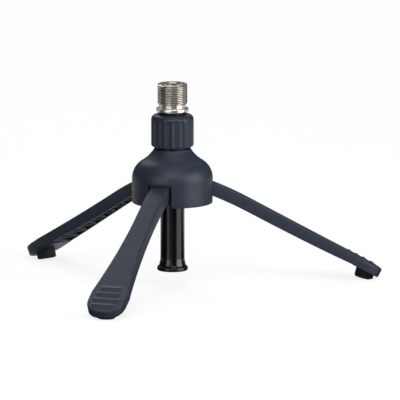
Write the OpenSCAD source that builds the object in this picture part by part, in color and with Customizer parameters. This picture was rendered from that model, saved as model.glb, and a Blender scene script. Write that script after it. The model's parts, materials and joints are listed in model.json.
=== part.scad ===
// Folding tabletop microphone tripod: a bell-shaped hub, three ribbed legs that fold down, a centre rod that
// slides and turns in a knob-tightened collet, and a thread adapter for the microphone holder.
// Millimetres, +Z up. The floor is z = 0, the rod is on the Z axis and leg 1 points along +X.

/* [Hub] */
// Height of the hub's lower edge above the floor
hub_z = 44.4; // [43.9:0.1:44.9]
// Height of the hub itself
hub_h = 28.8; // [28.6:0.1:29.2]
// Radius of the hub's straight lower part
hub_r = 21.4; // [21.2:0.1:21.6]
// Wall between a leg pocket and the outside
hub_wall = 2.3; // [2.1:0.1:2.5]
// Width of each leg slot
slot_w = 13.2; // [12.9:0.1:13.4]

/* [Legs] */
// Distance from the rod's axis to the end of a leg
leg_reach = 112.8; // [110:0.2:116]
// Width of a leg where it leaves the hub
leg_w = 10.1; // [9.9:0.1:10.1]
// Width of the paddle at the end of a leg
paddle_w = 20.2; // [19.2:0.2:20.6]
// Thickness of a leg at the hub
leg_t_hub = 6.8; // [6.6:0.1:7]
// Thickness of a leg at the paddle
leg_t_tip = 5; // [4.8:0.1:5.2]
// Wall of the channel under a leg
leg_wall = 1.5; // [1.3:0.1:1.7]
// Ribs in the channel under a leg
leg_ribs = 17; // [13:2:19]

/* [Feet] */
// Radius of a rubber foot
foot_r = 5.05; // [4.8:0.05:5.3]
// Lean of a foot, outer side down
foot_tilt = 15; // [12:1:16]

/* [Clamp knob] */
// Radius of the knob
knob_r = 11.3; // [11.2:0.1:11.6]
// Height of the knob
knob_h = 17.3; // [17.2:0.1:17.4]
// Flutes round the knob
knob_flutes = 18; // [12:1:20]
// Turn of the knob, by the angle of its first flute
knob_turn = 7.7; // [0:0.1:20]

/* [Rod] */
// Radius of the centre tube
tube_r = 6.4; // [6.35:0.05:6.4]
// Height of the end cap's underside above the floor
cap_z = 8; // [5:0.1:9]
// Radius of the end cap
cap_r = 8.1; // [7.8:0.1:8.5]

/* [Hidden] */
$fn = 96;

inch = 25.4;
cut = 1;                  // how far a cutter runs past the face it cuts
gap = 0.05;               // working clearance between pieces that turn or slide on each other
join = 0.5;               // how far a joined piece runs into the one that carries it
far = 60;                 // half size of the blocks that stand for half-spaces

// hub outline
rim = 0.6;                // chamfer round the lower rim
shoulder_r = 11.1;        // convex shoulder
shoulder_h = 12.9;        // where the straight side ends, above the hub's lower edge
shoulder_a = 58.8;        // arc of the shoulder
flare_r = 18.9;           // concave flare above it
flare_a = 25.6;           // arc of the flare
mouth_h = 12.8;           // height of a leg slot where it opens through the side
hub_top = hub_z + hub_h;

// inside the hub
plate_z = hub_z + 0.3;
plate_t = 2.5;
plate_top = plate_z + plate_t;
plate_r = hub_r - hub_wall - 0.15;
core_x = 10.4;            // flat inner wall of a leg pocket
bore_r = 9.05;            // bore that takes the plate's tower and the sleeve's flange
seat_z = hub_z + 18.9;    // shoulder that the sleeve's flange bears on
flange_t = 2;
flat_x = 8.65;            // half distance between the flats that stop the sleeve turning
tower_top = seat_z - flange_t - gap;
lip_t = 1.5;              // lip of the plate that keeps the bush in
lip_gap = 0.7;            // room between that lip and the tube
bush_wall = 1.2;
screw_x = 14.5;
screw_r = 1.4;
screw_head_r = 2.7;
screw_head_h = 1.4;
screw_edge = 0.1;         // straight edge of a screw's head, and how far the head is sunk
screw_turns = [60, 180, 300];
screw_l = 10;
drive_l = 3;              // cross recess in a screw's head
drive_w = 0.6;
drive_h = 0.8;

// leg outline, seen from the side
root_r = 21.2;
knee_r = 46.1;
root_z = hub_z + 10.6;
tip_z = 5.16;             // top of the leg at its end
root_slope = 0.43;
knee_l = knee_r - root_r;
arm_slope = (root_z - tip_z - root_slope * knee_l / 2) / (knee_l / 2 + leg_reach - knee_r);
arm_a = atan(arm_slope);
pivot_x = 14.8;
pivot_z = leg_top(pivot_x) - leg_t_hub / 2 * sqrt(1 + root_slope * root_slope);
pin_r = 1.5;
pin_l = 19.8;
leg_end_r = pivot_x + leg_t_hub / 2 * sin(atan(root_slope)); // where the leg's round end meets its top face
stop_gap = 0.05;          // between an unfolded leg and the sloping roof of its pocket, which is its stop

// leg outline, seen square to the paddle, by the distance q from its end
flare_q = 80;
flare_power = 1.9;
full_q = 16.5;
end_l = 11;
end_power = 2.6;
solid_q = 19;             // the last stretch of the leg is solid, to hold the foot
solid_r = leg_reach - solid_q * cos(arm_a);
leg_skin = 1.8;
rib_t = 1;
channel_r = 24.5;         // where the channel starts
grip_ridges = 4;
grip_q = 5;               // crest of the ridge nearest the end
grip_pitch = 4.7;
grip_h = 0.65;
grip_back = 1.6;          // from a crest to the foot of its steep side
grip_run = 3.1;           // from a crest to the foot of its long side, towards the end
grip_l = 14;              // length of the longest ridge, the second
grip_taper = 1.8;         // how much shorter each ridge is than the next one towards the second

// feet
foot_x = 103;
foot_drop = 0.35;         // middle of a foot's lower face above the floor, before its floor flat is cut
foot_chamfer = 1;
stem_q = 8.6;
stem_r = 2.5;
stem_h = 2.8;

// clamp
knob_z = hub_top + 1.1;
knob_top = knob_z + knob_h;
knob_shoulder = 3;
knob_foot = 1.4;
knob_lead = 0.5;
flute_r = 1.8;
flute_depth = 0.72;
flute_rise = 1.2;         // how far a flute's arched top reaches into the shoulder
flute_h = knob_h - knob_shoulder - flute_r + flute_rise;
thread_r = 8.25;
neck_r = thread_r + gap;  // bore of the hub that takes the sleeve
collet_z = hub_top + 10.8;
collet_h = 2.2;
collet_r = 7.1;
slits = 4;
slit_w = 1;
slit_h = 6;               // length of a slit below the collet's cone
rod_room = 0.3;           // between the tube and the pieces it passes through without touching
ring_r = thread_r;
ring_seat = 0.9;          // how far up the collet's cone the clamp ring starts
ring_gap = 0.12;          // between the ring's cone and the collet's
ring_z = collet_z + ring_seat;
ring_h = 3.95;
ring_bore_r = tube_r + rod_room;
ring_cone_h = 1.4;

// rod
tube_wall = 1;
plug_r = tube_r - tube_wall - gap / 2;
cap_h = 2.4;
cap_round = 0.8;
cap_plug_h = 9;
tube_z = cap_z + cap_h + 3 * gap;
tube_flare = 0.85;        // how far the tube widens at its foot
tube_flare_h = 4.2;
tube_flare_power = 1.3;
tube_top = knob_top - 0.05;
collar_top = tube_top + 0.7;
plug_h = 12;
washer_r = 6.65;
washer_h = 0.8;
adapter_z = collar_top + washer_h;
stud_r = 3 / 8 * inch / 2;
stud_l = 11.75;
stud_lead = 0.8;
stud_top = adapter_z + stud_l;
adapter_h = 14.85;
adapter_bore_r = stud_r + gap;
adapter_thread_r = 5 / 8 * inch / 2;
adapter_pitch = inch / 27;
adapter_turns = 10;
adapter_thread_z = 4.15;  // where the thread starts, above the adapter's foot
adapter_lead = 0.6;
adapter_neck_r = 7.2;
adapter_flange_r = 8.5;
adapter_flange_h = 1.9;
adapter_edge = 0.4;

function blend_part(r) = min(1, max(0, (r - root_r) / knee_l));
function leg_slope(r) = let (u = blend_part(r))
    root_slope + (arm_slope - root_slope) * u * u * (3 - 2 * u);
// height of a leg's top face: the slope above, integrated from the root
function leg_top(r) = let (u = blend_part(r))
    root_z - root_slope * (r - root_r)
    - (arm_slope - root_slope) * (knee_l * (u * u * u - u * u * u * u / 2) + max(0, r - knee_r));
// thickness of a leg at radius r: it thins mostly towards the paddle
function leg_t(r) = let (u = min(1, max(0, (r - root_r) / (solid_r - root_r))))
    leg_t_hub + (leg_t_tip - leg_t_hub) * u * u * u;
// the point square below a leg's top face at radius r, a depth t down
function below(r, t) = let (c = 1 / sqrt(1 + leg_slope(r) * leg_slope(r)))
    [r - leg_slope(r) * c * t, leg_top(r) - c * t];
function half_w(q) = let (u = min(1, max(0, (flare_q - q) / (flare_q - full_q))))
    leg_w / 2 + (paddle_w - leg_w) / 2 * pow(u, flare_power);
function knee_stations() = [for (i = [0 : 10]) root_r + knee_l * i / 10];
function arm_stations() = [for (i = [1 : 8]) knee_r + (solid_r - knee_r) * i / 8];
function arc(x, z, r, a0, a1, n) = [for (i = [0 : n]) let (a = a0 + (a1 - a0) * i / n)
    [x + r * cos(a), z + r * sin(a)]];
// radius of the collet's cone at height h above its foot
function collet_at(h) = thread_r + (collet_r - thread_r) * h / collet_h;
function thread_depth(pitch) = 0.6 * pitch;
function thread_run(pitch) = thread_depth(pitch) * tan(30);
// one 60-degree thread form repeated up a cylinder, as rings
function thread_rings(r, pitch, turns, z0) =
    let (d = thread_depth(pitch), run = thread_run(pitch), crest = pitch / 8)
    [for (i = [0 : turns - 1], p = [[r - d, 0], [r, run], [r, run + crest], [r - d, 2 * run + crest]])
        [p[0], z0 + i * pitch + p[1]]];

module at_leg(i) {
    rotate([0, 0, 120 * (i - 1)]) children();
}

// where a foot's stem enters the underside of the paddle
module at_stem() {
    on_paddle() translate([-stem_q, 0, -leg_t_tip]) children();
}

// a leg's pin: origin at the middle, +Z along it
module at_pivot() {
    translate([pivot_x, 0, pivot_z]) rotate([90, 0, 0]) children();
}

module side_on(points, w) {
    rotate([90, 0, 0]) linear_extrude(height = w, center = true) polygon(points);
}

// the paddle's frame: origin at the top of the leg's end, -X along the leg, +Z square to it
module on_paddle() {
    translate([leg_reach, 0, leg_top(leg_reach)]) rotate([0, arm_a, 0]) children();
}

module ring(r_out, r_in, h) {
    difference() {
        cylinder(r = r_out, h = h);
        translate([0, 0, -cut]) cylinder(r = r_in, h = h + 2 * cut);
    }
}

// a screw of the plate: origin in the plate's underside
module at_screw(a) {
    rotate([0, 0, a]) translate([screw_x, 0, plate_z]) children();
}

module hub_outline() {
    x = hub_r - shoulder_r;
    flare_x = x + (shoulder_r + flare_r) * cos(shoulder_a);
    flare_z = shoulder_h + (shoulder_r + flare_r) * sin(shoulder_a);
    polygon(concat(
        [[0, 0], [hub_r - rim, 0], [hub_r, rim]],
        arc(x, shoulder_h, shoulder_r, 0, shoulder_a, 12),
        arc(flare_x, flare_z, flare_r, 180 + shoulder_a, 180 + shoulder_a - flare_a, 12),
        [[flare_x + flare_r * cos(180 + shoulder_a - flare_a), hub_h], [0, hub_h]]
    ));
}

// a leg's pocket: a tall mouth through the side, and a roof further in that slopes with the leg's top
module leg_pockets() {
    mouth_x = hub_r - hub_wall;
    for (i = [1 : 3]) at_leg(i)
        side_on([
            [core_x, hub_z - cut], [far, hub_z - cut], [far, hub_z + mouth_h], [mouth_x, hub_z + mouth_h],
            [mouth_x, leg_top(mouth_x) + stop_gap], [pivot_x, leg_top(pivot_x) + stop_gap],
            [core_x, leg_top(pivot_x) + stop_gap]
        ], slot_w);
}

module pin_channels() {
    h = pivot_z - plate_top + gap;
    for (i = [1 : 3]) at_leg(i) {
        at_pivot() cylinder(r = pin_r + gap / 2, h = pin_l + 2 * gap, center = true);
        translate([pivot_x - pin_r - gap / 2, -pin_l / 2 - gap, pivot_z - h])
            cube([2 * pin_r + gap, pin_l + 2 * gap, h]);
    }
}

module hub_shell() {
    color([0.25, 0.27, 0.31]) difference() {
        translate([0, 0, hub_z]) rotate_extrude() hub_outline();
        translate([0, 0, hub_z - cut]) cylinder(r = plate_r + gap, h = plate_top - hub_z + cut + gap);
        translate([0, 0, hub_z]) cylinder(r = bore_r, h = tower_top - hub_z);
        intersection() {
            translate([0, 0, hub_z]) cylinder(r = bore_r, h = seat_z - hub_z);
            translate([-flat_x, -far, 0]) cube([2 * flat_x, 2 * far, 2 * far]);
        }
        cylinder(r = neck_r, h = hub_top + cut);
        leg_pockets();
        pin_channels();
        for (a = screw_turns) at_screw(a) cylinder(r = screw_r + gap, h = screw_l + cut);
    }
}

module hub_plate() {
    post_h = pivot_z - pin_r - gap - plate_top;
    post_w = 2 * (pin_r - gap);
    post_y = slot_w / 2 + 4 * gap;
    hole_r = screw_r + 3 * gap;
    color([0.16, 0.17, 0.19]) {
        difference() {
            union() {
                translate([0, 0, plate_z]) cylinder(r = plate_r, h = plate_t);
                translate([0, 0, plate_z]) cylinder(r = bore_r - gap, h = tower_top - plate_z);
            }
            translate([0, 0, plate_z + lip_t]) cylinder(r = tube_r + bush_wall + 2 * gap, h = tower_top);
            translate([0, 0, plate_z - cut]) cylinder(r = tube_r + lip_gap, h = tower_top);
            for (i = [1 : 3]) at_leg(i) translate([core_x - 2 * gap, -slot_w / 2 - 2 * gap, plate_z - cut])
                cube([far, slot_w + 4 * gap, plate_t + 2 * cut]);
            for (a = screw_turns) at_screw(a) rotate_extrude() polygon([
                [0, -cut], [screw_head_r + gap, -cut], [screw_head_r + gap, screw_edge + gap],
                [hole_r, screw_head_h + gap], [hole_r, plate_t + cut], [0, plate_t + cut]
            ]);
        }
        for (i = [1 : 3], side = [0, 1]) at_leg(i) mirror([0, side, 0])
            translate([pivot_x - post_w / 2, post_y, plate_top - join])
                cube([post_w, pin_l / 2 - post_y, post_h + join]);
    }
}

module plate_screws() {
    color([0.2, 0.2, 0.21]) for (a = screw_turns) at_screw(a) translate([0, 0, screw_edge])
        difference() {
            rotate_extrude() polygon([
                [0, 0], [screw_head_r, 0], [screw_head_r, screw_edge], [screw_r, screw_head_h],
                [screw_r, screw_l - screw_r], [0, screw_l]
            ]);
            for (turn = [0, 90]) rotate([0, 0, turn]) translate([-drive_l / 2, -drive_w / 2, -cut])
                cube([drive_l, drive_w, cut + drive_h]);
        }
}

module collet_sleeve() {
    color([0.12, 0.12, 0.13]) difference() {
        union() {
            intersection() {
                translate([0, 0, tower_top + gap]) cylinder(r = bore_r - gap, h = flange_t);
                translate([gap - flat_x, -far, 0]) cube([2 * (flat_x - gap), 2 * far, 2 * far]);
            }
            translate([0, 0, tower_top + gap]) cylinder(r = thread_r, h = collet_z - tower_top - gap);
            translate([0, 0, collet_z]) cylinder(r1 = thread_r, r2 = collet_r, h = collet_h);
        }
        translate([0, 0, hub_z]) cylinder(r = tube_r + rod_room, h = 2 * far);
        for (i = [0 : slits - 1]) rotate([0, 0, 45 + 360 / slits * i])
            translate([0, -slit_w / 2, collet_z - slit_h]) cube([far, slit_w, far]);
    }
}

module guide_bush() {
    color([0.82, 0.81, 0.77]) translate([0, 0, plate_z + lip_t + gap])
        ring(tube_r + gap + bush_wall, tube_r + gap, tower_top - plate_z - lip_t - 2 * gap);
}

module clamp_ring() {
    color([0.72, 0.6, 0.35]) translate([0, 0, ring_z]) rotate_extrude() polygon([
        [collet_at(ring_seat) + ring_gap, 0], [ring_r, 0], [ring_r, ring_h], [ring_bore_r, ring_h],
        [ring_bore_r, ring_cone_h], [collet_at(ring_seat + ring_cone_h) + ring_gap, ring_cone_h]
    ]);
}

module clamp_knob() {
    bore_top = ring_z + ring_h + gap - knob_z;
    color([0.22, 0.24, 0.28]) translate([0, 0, knob_z]) difference() {
        rotate_extrude() polygon(concat(
            [[thread_r + gap, knob_lead], [thread_r + gap + knob_lead, 0]],
            arc(knob_r - knob_foot, knob_foot, knob_foot, -90, 0, 6),
            arc(knob_r - knob_shoulder, knob_h - knob_shoulder, knob_shoulder, 0, 90, 10),
            [[ring_bore_r + knob_lead, knob_h], [ring_bore_r, knob_h - knob_lead], [ring_bore_r, bore_top],
             [thread_r + gap, bore_top]]
        ));
        for (i = [0 : knob_flutes - 1]) rotate([0, 0, knob_turn + 360 / knob_flutes * i])
            translate([knob_r - flute_depth + flute_r, 0, -cut]) {
                cylinder(r = flute_r, h = flute_h + cut, $fn = 32);
                translate([0, 0, flute_h + cut]) sphere(r = flute_r, $fn = 32);
            }
    }
}

// a low saw-toothed bar across the paddle, for the fingers
module ridge(k) {
    side_on([
        [-grip_back, -join], [-grip_back, 0], [0, grip_h], [grip_run, 0], [grip_run, -join]
    ], grip_l - grip_taper * abs(k - 1));
}

// flat shape of a leg seen square to the paddle, inset at its sides
module leg_plan(inset) {
    long = leg_reach - pivot_x + paddle_w;
    ends = [for (i = [1 : 9]) let (a = 10 * i)
        [end_l * (1 - pow(cos(a), 2 / end_power)), pow(sin(a), 2 / end_power)]];
    steps = [for (i = [0 : 12]) full_q + (flare_q - full_q) * i / 12];
    side = concat(
        [for (e = ends) [e[0], e[1] * half_w(e[0])]], [for (q = steps) [q, half_w(q)]], [[long, leg_w / 2]]
    );
    polygon(concat(
        [[0, 0]],
        [for (p = side) [-p[0], p[1] - inset]],
        [for (k = [len(side) - 1 : -1 : 0]) [-side[k][0], inset - side[k][1]]]
    ));
}

module leg(i) {
    stations = concat([leg_end_r], knee_stations(), arm_stations(), [leg_reach]);
    inner = concat([channel_r], [for (r = knee_stations()) if (r > channel_r) r], [solid_r]);
    color([0.28, 0.3, 0.35]) at_leg(i) difference() {
        union() {
            intersection() {
                side_on(concat(
                    [for (r = stations) below(r, 0)],
                    [for (k = [len(stations) - 1 : -1 : 0]) below(stations[k], leg_t(stations[k]))]
                ), paddle_w + 2 * cut);
                on_paddle() translate([0, 0, -far]) linear_extrude(height = 2 * far) leg_plan(0);
            }
            at_pivot() cylinder(r = leg_t_hub / 2, h = leg_w, center = true);
            on_paddle() for (k = [0 : grip_ridges - 1]) translate([-grip_q - grip_pitch * k, 0, 0]) ridge(k);
        }
        difference() {
            intersection() {
                side_on(concat(
                    [for (r = inner) below(r, leg_skin)],
                    [for (k = [len(inner) - 1 : -1 : 0]) below(inner[k], leg_t_hub + 2 * cut)]
                ), paddle_w + 2 * cut);
                on_paddle() translate([0, 0, -far]) linear_extrude(height = 2 * far) leg_plan(leg_wall);
            }
            ribs();
        }
        at_pivot() cylinder(r = pin_r + gap, h = leg_w + 2 * cut, center = true);
        at_stem() translate([0, 0, -cut]) cylinder(r = stem_r, h = stem_h + 4 * gap + cut);
    }
}

// zig-zag ribs across the channel under a leg
module ribs() {
    run = (leg_reach - channel_r) / cos(arm_a) - solid_q;
    pitch = run / leg_ribs;
    on_paddle() for (k = [0 : leg_ribs - 1]) {
        q = solid_q + pitch * (k + 0.5);
        w = 2 * half_w(q);
        slant = (k % 2 == 0 ? 1 : -1) * atan2(w, pitch);
        translate([-q, 0, -far / 2]) rotate([0, 0, slant])
            translate([-w, -rib_t / 2, 0]) cube([2 * w, rib_t, far]);
    }
}

module foot(i) {
    color([0.06, 0.06, 0.065]) at_leg(i) {
        intersection() {
            translate([foot_x, 0, foot_drop]) rotate([0, foot_tilt, 0]) rotate_extrude() polygon([
                [0, 0], [foot_r - foot_chamfer, 0], [foot_r, foot_chamfer], [foot_r, far / 2], [0, far / 2]
            ]);
            on_paddle() translate([-far, -far, -leg_t_tip - far]) cube([2 * far, 2 * far, far]);
            translate([0, -far, 0]) cube([3 * far, 2 * far, far]);
        }
        at_stem() translate([0, 0, -join]) cylinder(r = stem_r - gap / 2, h = stem_h + join);
    }
}

module leg_pin(i) {
    color([0.7, 0.7, 0.72]) at_leg(i) at_pivot() cylinder(r = pin_r, h = pin_l, center = true);
}

module leg_washers(i) {
    t = (slot_w - leg_w) / 2 - 2 * gap;
    color([0.16, 0.17, 0.19]) at_leg(i) for (side = [0, 1]) mirror([0, side, 0])
        at_pivot() translate([0, 0, leg_w / 2 + gap]) ring(leg_t_hub / 2 - 4 * gap, pin_r + gap, t);
}

module centre_tube() {
    color([0.05, 0.05, 0.055]) rotate_extrude() polygon(concat(
        [[tube_r - tube_wall, tube_z]],
        [for (k = [0 : 8]) let (u = k / 8)
            [tube_r + tube_flare * pow(1 - u, tube_flare_power), tube_z + tube_flare_h * u]],
        [[tube_r, tube_top], [tube_r - tube_wall, tube_top]]
    ));
}

module end_cap() {
    color([0.07, 0.07, 0.075]) translate([0, 0, cap_z]) rotate_extrude() polygon(concat(
        [[0, 0]],
        arc(cap_r - cap_round, cap_round, cap_round, -90, 0, 6),
        arc(cap_r - cap_round, cap_h - cap_round, cap_round, 0, 90, 6),
        [[plug_r, cap_h], [plug_r, cap_h + cap_plug_h], [0, cap_h + cap_plug_h]]
    ));
}

module stud_plug() {
    color([0.2, 0.2, 0.21]) rotate_extrude() polygon([
        [0, tube_top - plug_h], [plug_r, tube_top - plug_h], [plug_r, tube_top],
        [tube_r, tube_top], [tube_r, collar_top], [stud_r, collar_top],
        [stud_r, stud_top - stud_lead], [stud_r - stud_lead, stud_top], [0, stud_top]
    ]);
}

module buffer_washer() {
    color([0.04, 0.04, 0.042]) translate([0, 0, collar_top]) ring(washer_r, stud_r + 2 * gap, washer_h);
}

module thread_adapter() {
    r = adapter_thread_r;
    z = adapter_thread_z;
    top = z + adapter_turns * adapter_pitch;
    flange_in = adapter_flange_r - adapter_edge;
    color([0.78, 0.77, 0.74]) translate([0, 0, adapter_z]) rotate_extrude() polygon(concat(
        [[adapter_bore_r + adapter_lead, 0], [flange_in, 0], [adapter_flange_r, adapter_edge],
         [adapter_flange_r, adapter_flange_h - adapter_edge], [flange_in, adapter_flange_h],
         [adapter_neck_r, adapter_flange_h], [adapter_neck_r, z - gap]],
        thread_rings(r, adapter_pitch, adapter_turns, z),
        [[r - thread_depth(adapter_pitch), top], [r, top + thread_run(adapter_pitch)],
         [r, adapter_h - adapter_lead], [r - adapter_lead, adapter_h],
         [adapter_bore_r + adapter_lead, adapter_h], [adapter_bore_r, adapter_h - adapter_lead],
         [adapter_bore_r, adapter_lead]]
    ));
}

hub_shell();
hub_plate();
plate_screws();
collet_sleeve();
guide_bush();
clamp_ring();
clamp_knob();
leg(1);  // leg_1
leg(2);  // leg_2
leg(3);  // leg_3
foot(1);  // foot_1
foot(2);  // foot_2
foot(3);  // foot_3
leg_pin(1);  // leg_pin_1
leg_pin(2);  // leg_pin_2
leg_pin(3);  // leg_pin_3
leg_washers(1);  // leg_washers_1
leg_washers(2);  // leg_washers_2
leg_washers(3);  // leg_washers_3
centre_tube();
end_cap();
stud_plug();
buffer_washer();
thread_adapter();
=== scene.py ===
import json
from math import asin, atan, cos, degrees, hypot, pi, radians, sin, sqrt

import bmesh
import bpy
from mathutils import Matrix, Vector


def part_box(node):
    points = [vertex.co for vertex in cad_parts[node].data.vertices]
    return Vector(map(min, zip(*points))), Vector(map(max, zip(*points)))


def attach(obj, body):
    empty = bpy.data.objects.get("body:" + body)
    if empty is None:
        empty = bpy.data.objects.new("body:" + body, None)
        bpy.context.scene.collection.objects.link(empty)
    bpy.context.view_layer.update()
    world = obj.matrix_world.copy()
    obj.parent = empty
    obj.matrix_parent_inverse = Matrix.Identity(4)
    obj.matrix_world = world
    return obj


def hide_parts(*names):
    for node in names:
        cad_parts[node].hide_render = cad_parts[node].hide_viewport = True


# Looks of a folding tabletop microphone tripod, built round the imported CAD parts.
# Shapes are worked out in millimetres, in the CAD's frame: floor at z = 0, rod on the Z axis,
# leg 1 along +X.
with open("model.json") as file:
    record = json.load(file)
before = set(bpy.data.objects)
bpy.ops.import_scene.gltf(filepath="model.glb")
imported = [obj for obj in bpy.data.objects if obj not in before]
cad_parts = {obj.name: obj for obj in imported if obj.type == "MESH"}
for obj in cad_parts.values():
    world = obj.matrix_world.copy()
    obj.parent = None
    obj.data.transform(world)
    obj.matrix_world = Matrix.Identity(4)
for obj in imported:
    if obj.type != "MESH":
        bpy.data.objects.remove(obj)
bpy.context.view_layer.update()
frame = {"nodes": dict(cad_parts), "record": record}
MM = 0.001
LEGS = (1, 2, 3)
SECTOR = 360 / len(LEGS)


def extent(node):
    """Lowest and highest corner of a CAD node, in millimetres."""
    low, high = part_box(node)
    return low / MM, high / MM


# ---------------------------------------------------------------- sizes, in millimetres and degrees

# hub; heights from its rim, and each angle is how far its arc turns
hub_low, hub_high = extent("hub_shell")
HUB_Z, HUB_TOP, HUB_R = hub_low.z, hub_high.z, hub_high.x
HUB_RIM, HUB_LIP = 0.7, 0.5                                 # edge radii, below and above
SHOULDER_R, SHOULDER_H, SHOULDER_A = 11.1, 12.9, 58.8       # the round shoulder
FLARE_R, FLARE_A = 18.9, 25.6                               # the hollow curve above it
LIP_GAP = 0.05                                              # from the curve's end to the lip
SLOT_HALF, SLOT_ROOF, SLOT_EDGE = 6.6, 12.8, 0.3            # half width, height, edge radius
MOUTH_WALL = 2.3                                            # wall over a slot's mouth
STOP_GAP = 0.05                                             # between a leg's top and its stop
CORE_X = 10.4                                               # the pocket's inner wall
RECESS_R, RECESS_H = 19.0, 2.85                             # the plate's recess
BORE_R, NECK_R, SEAT_H, NECK_LEAD = 9.05, 8.3, 18.9, 0.3    # wide below the seat, narrow above

# legs; q is the distance from the tip along the leg's top
leg_low, leg_high = extent("leg_1")
LEG_REACH = leg_high.x
ROOT_R, KNEE_R = 21.2, 46.1                                 # the top bends between these radii
ROOT_SLOPE, ARM_SLOPE = 0.43, 0.56206
ARM_A = atan(ARM_SLOPE)
LEG_T_HUB, LEG_T_TIP = 6.8, 5.0
THICK_SPAN = 6.0                                            # thickest from so far before the root
TIP_Z = leg_low.z + LEG_T_TIP * cos(ARM_A)
PIVOT_X = 14.8                                              # radius at which the hinge pins lie
BARREL_STEPS = (70, 58, 46, 34, 22, 10)                     # angles round the hinge's barrel
LEG_W, PADDLE_W = 10.1, 20.2
FLARE_Q, FULL_Q, FLARE_POWER = 80.0, 16.5, 1.9              # the paddle widens between these
END_L, END_POWER = 11.0, 2.6                                # its rounded end
END_CROWD = 1.6                                             # stations crowd towards the tip
TOP_EDGE, LOW_EDGE = 0.8, 0.4
CHANNEL_WALL, CHANNEL_SKIN, CHANNEL_DRAFT = 1.5, 1.8, 0.25
CHANNEL_Q, CHANNEL_R, CHANNEL_STEP = 19.0, 24.5, 0.06       # its ends, and how far they slope
GRIP_END = 21.0                                             # stations are closer up to here
RIBS, RIB_T, RIB_SINK, RIB_GAP, RIB_ROUND = 17, 1.0, 0.3, 0.25, 0.3
RIB_ROOT, RIB_SIDE, RIB_CROWN = 1.1, 0.95, 0.6              # widths as shares of RIB_T
RIDGES, RIDGE_Q, RIDGE_PITCH, RIDGE_H = 4, 5.0, 4.7, 0.65   # finger ridges, the first at RIDGE_Q
RIDGE_BACK, RIDGE_RUN = 1.6, 3.1                            # lengths of their steep and gentle sides
RIDGE_REACH, RIDGE_TAPER, RIDGE_END = 6.4, 0.9, 1.2         # half width, less for each, rounding
RIDGE_WIDEST = 1                                            # counted from the tip, from 0

# feet
FOOT_R, FOOT_EDGE, FOOT_H = 5.05, 1.0, 12.0                 # height before the paddle cuts it
FOOT_X, FOOT_DROP, FOOT_TILT = 103.0, 0.35, 15.0
FOOT_FLAT = 1.2                                             # ring between its flat and its edge

# clamp knob; heights from its lower edge
knob_low, knob_high = extent("clamp_knob")
KNOB_Z, KNOB_H, KNOB_R = knob_low.z, knob_high.z - knob_low.z, 11.3
KNOB_SHOULDER, KNOB_FOOT, KNOB_WALL = 3.0, 1.4, 1.5
KNOB_BORE, KNOB_MOUTH, KNOB_ROOF, KNOB_LEAD = 8.3, 6.7, 14.6, 0.5
FLUTES, FLUTE_R, FLUTE_DEPTH, FLUTE_PHASE = 18, 1.8, 0.72, 7.7
FLUTE_RISE, FLUTE_EDGE = 1.2, 0.12                          # arches reach into the shoulder

# rod; the cap's heights are from its underside
tube_low, tube_high = extent("centre_tube")
TUBE_R, TUBE_WALL = 6.4, 1.0
TUBE_EDGE, TUBE_LEAD = 0.18, 0.2                            # edges below and above
TUBE_FLARE, TUBE_FLARE_H, TUBE_FLARE_POWER = 0.85, 4.2, 1.3
cap_low, cap_high = extent("end_cap")
CAP_Z, CAP_R, CAP_H, CAP_ROUND = cap_low.z, cap_high.x, 2.4, 0.8
CAP_DISH, CAP_DISH_WALL, CAP_DISH_LEAD = 0.35, 2.9, 0.3     # the shallow dish under the cap
PLUG_GAP, PLUG_L = 0.03, 9.0                                # its plug in the tube

# adapter; heights from its underside
adapter_low, adapter_high = extent("thread_adapter")
ADAPTER_Z, ADAPTER_H = adapter_low.z, adapter_high.z - adapter_low.z
ADAPTER_BORE, ADAPTER_NECK, ADAPTER_FLANGE, FLANGE_H = 4.8, 7.2, 8.5, 1.9
FLANGE_EDGE, NECK_FILLET, NECK_END = 0.4, 0.25, 0.2
BORE_LEAD, BORE_TOP_LEAD = 0.5, 0.7
ADAPTER_COLUMNS = 96
THREAD_R, THREAD_PITCH, THREAD_Z = 7.9375, 25.4 / 27, 4.1
THREAD_DEPTH = 0.6 * THREAD_PITCH
THREAD_CREST, THREAD_FLANK = 0.14, 0.36                     # shares of the pitch
THREAD_FADE, THREAD_FADE_SLOPE = 0.55, 0.8                  # how it runs out at both ends
THREAD_TOP = 0.6                                            # no painted groove shade this near the top
GROOVE_SHADE_ON_CREST = 0.1                                            # share of the painted groove shade that a crest still gets

# camera and picture
CAMERA_DISTANCE = 6000.0
CAMERA_AZIMUTH, CAMERA_ELEVATION = 10.85, 9.8               # round from -Y towards -X, and up
PICTURE_WIDTH = 211.3                                       # at the rod
AIM_RIGHT, AIM_UP = 14.55, 45.5                             # the picture's middle, from the rod's foot

# floor, in metres: its colour and own brightness to the camera, then what other surfaces see of it
FLOOR_ALBEDO, FLOOR_GLOW = 0.35, 0.8
FLOOR_SHEEN, FLOOR_ROUGHNESS, FLOOR_BOUNCE = 0.4, 0.2, 0.6
SWEEP = (0.05, 0.13)                                        # turns bright so far behind the rod
FLOOR_HALF, FLOOR_FADE = 3.0, (0.25, 1.2)                   # half its width, where it fades out


# ---------------------------------------------------------------- camera, floor and light

def make_camera():
    """A camera a little left of the middle of the front, looking down at the tripod from far away."""
    turn, lift = radians(CAMERA_AZIMUTH), radians(CAMERA_ELEVATION)
    back = Vector((-sin(turn) * cos(lift), -cos(turn) * cos(lift), sin(lift)))
    right = Vector((cos(turn), -sin(turn), 0))
    data = bpy.data.cameras.new("camera")
    data.sensor_width = 36
    data.lens = data.sensor_width * CAMERA_DISTANCE / PICTURE_WIDTH
    data.clip_start, data.clip_end = 0.1, 100
    camera = bpy.data.objects.new("camera", data)
    camera.location = (back * CAMERA_DISTANCE + right * AIM_RIGHT + Vector((0, 0, AIM_UP))) * MM
    camera.rotation_euler = (pi / 2 - lift, 0, -turn)
    bpy.context.scene.collection.objects.link(camera)
    bpy.context.scene.camera = camera


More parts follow.
